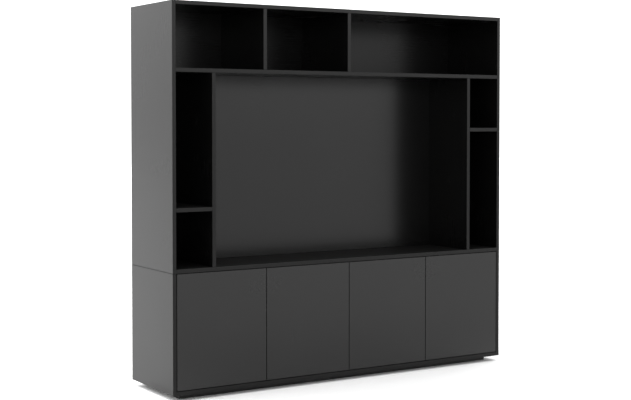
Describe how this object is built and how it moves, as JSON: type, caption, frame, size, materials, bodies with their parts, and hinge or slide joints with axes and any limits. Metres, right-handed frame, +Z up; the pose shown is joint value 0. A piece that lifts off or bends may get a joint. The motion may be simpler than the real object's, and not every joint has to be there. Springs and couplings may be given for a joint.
{
  "type": "tv stand",
  "caption": "Black wall unit for a television: an open shelf unit with a wide screen bay stands on a low cupboard with flush handle-less doors and a recessed plinth.",
  "frame": {"origin": "on the floor, at the middle of the unit's footprint", "axes": "+X to the viewer's right, +Y from the front to the wall side, +Z up; the doors face -Y"},
  "size_m": [2.1, 0.5, 2],
  "materials": {
    "black_board": "black satin foil on board",
    "rear_board": "black satin foil on thin board",
    "plinth_board": "black matt board",
    "black_door": "black satin lacquer on board",
    "nickelled_steel": "nickel-plated pressed steel",
    "latch_plastic": "dark grey moulded plastic",
    "plunger_plastic": "grey moulded plastic"
  },
  "bodies": {
    "carcass": {"cupboard_left_side": "black_board", "cupboard_right_side": "black_board", "cupboard_floor": "black_board", "cupboard_ceiling": "black_board", "middle_partition": "black_board", "inner_shelf_left": "black_board", "inner_shelf_right": "black_board", "shelf_unit_left_side": "black_board", "shelf_unit_right_side": "black_board", "roof": "black_board", "deck": "black_board", "long_shelf": "black_board", "top_divider_left": "black_board", "top_divider_middle": "black_board", "left_upright": "black_board", "right_upright": "black_board", "short_shelf_left": "black_board", "short_shelf_right": "black_board", "cupboard_rear_panel": "rear_board", "rear_panel": "rear_board", "screen_bay_panel": "rear_board", "plinth_front": "plinth_board", "plinth_rear": "plinth_board", "plinth_left": "plinth_board", "plinth_right": "plinth_board", "hinge_arm_upper_1": "nickelled_steel", "hinge_arm_lower_1": "nickelled_steel", "hinge_arm_upper_2": "nickelled_steel", "hinge_arm_lower_2": "nickelled_steel", "hinge_arm_upper_3": "nickelled_steel", "hinge_arm_lower_3": "nickelled_steel", "hinge_arm_upper_4": "nickelled_steel", "hinge_arm_lower_4": "nickelled_steel", "push_latch_left": "latch_plastic", "push_latch_right": "latch_plastic"},
    "door_1": {"door_1": "black_door", "hinge_cup_upper_1": "nickelled_steel", "hinge_cup_lower_1": "nickelled_steel"},
    "door_2": {"door_2": "black_door", "hinge_cup_upper_2": "nickelled_steel", "hinge_cup_lower_2": "nickelled_steel"},
    "door_3": {"door_3": "black_door", "hinge_cup_upper_3": "nickelled_steel", "hinge_cup_lower_3": "nickelled_steel"},
    "door_4": {"door_4": "black_door", "hinge_cup_upper_4": "nickelled_steel", "hinge_cup_lower_4": "nickelled_steel"},
    "hinge_links_1": {"hinge_link_upper_1": "nickelled_steel", "hinge_link_lower_1": "nickelled_steel"},
    "hinge_links_2": {"hinge_link_upper_2": "nickelled_steel", "hinge_link_lower_2": "nickelled_steel"},
    "hinge_links_3": {"hinge_link_upper_3": "nickelled_steel", "hinge_link_lower_3": "nickelled_steel"},
    "hinge_links_4": {"hinge_link_upper_4": "nickelled_steel", "hinge_link_lower_4": "nickelled_steel"},
    "latch_plunger_1": {"latch_plunger_1": "plunger_plastic"},
    "latch_plunger_2": {"latch_plunger_2": "plunger_plastic"},
    "latch_plunger_3": {"latch_plunger_3": "plunger_plastic"},
    "latch_plunger_4": {"latch_plunger_4": "plunger_plastic"}
  },
  "joints": [
    {"name": "door_1_swing", "type": "hinge", "parent": "carcass", "child": "door_1", "pos_m": [-1.026, -0.25, 0.346], "axis": [0, 0, -1], "range_deg": [0, 90]},
    {"name": "door_1_links_turn", "type": "hinge", "parent": "door_1", "child": "hinge_links_1", "pos_m": [-1.0169, -0.2346, 0.346], "axis": [0, 0, 1], "range_deg": [0, 144]},
    {"name": "door_2_swing", "type": "hinge", "parent": "carcass", "child": "door_2", "pos_m": [-0.002, -0.25, 0.346], "axis": [0, 0, 1], "range_deg": [0, 90]},
    {"name": "door_2_links_turn", "type": "hinge", "parent": "door_2", "child": "hinge_links_2", "pos_m": [-0.0111, -0.2346, 0.346], "axis": [0, 0, -1], "range_deg": [0, 144]},
    {"name": "door_3_swing", "type": "hinge", "parent": "carcass", "child": "door_3", "pos_m": [0.002, -0.25, 0.346], "axis": [0, 0, -1], "range_deg": [0, 90]},
    {"name": "door_3_links_turn", "type": "hinge", "parent": "door_3", "child": "hinge_links_3", "pos_m": [0.0111, -0.2346, 0.346], "axis": [0, 0, 1], "range_deg": [0, 144]},
    {"name": "door_4_swing", "type": "hinge", "parent": "carcass", "child": "door_4", "pos_m": [1.026, -0.25, 0.346], "axis": [0, 0, 1], "range_deg": [0, 90]},
    {"name": "door_4_links_turn", "type": "hinge", "parent": "door_4", "child": "hinge_links_4", "pos_m": [1.0169, -0.2346, 0.346], "axis": [0, 0, -1], "range_deg": [0, 144]},
    {"name": "plunger_1_travel", "type": "slide", "parent": "carcass", "child": "latch_plunger_1", "axis": [0, 1, 0], "range_m": [0, 0.003], "stiffness_N_per_m": 400},
    {"name": "plunger_2_travel", "type": "slide", "parent": "carcass", "child": "latch_plunger_2", "axis": [0, 1, 0], "range_m": [0, 0.003], "stiffness_N_per_m": 400},
    {"name": "plunger_3_travel", "type": "slide", "parent": "carcass", "child": "latch_plunger_3", "axis": [0, 1, 0], "range_m": [0, 0.003], "stiffness_N_per_m": 400},
    {"name": "plunger_4_travel", "type": "slide", "parent": "carcass", "child": "latch_plunger_4", "axis": [0, 1, 0], "range_m": [0, 0.003], "stiffness_N_per_m": 400}
  ],
  "couplings": [
    {"joint": "door_1_links_turn", "follows": "door_1_swing", "ratio": 1.5994},
    {"joint": "door_2_links_turn", "follows": "door_2_swing", "ratio": 1.5994},
    {"joint": "door_3_links_turn", "follows": "door_3_swing", "ratio": 1.5994},
    {"joint": "door_4_links_turn", "follows": "door_4_swing", "ratio": 1.5994}
  ]
}
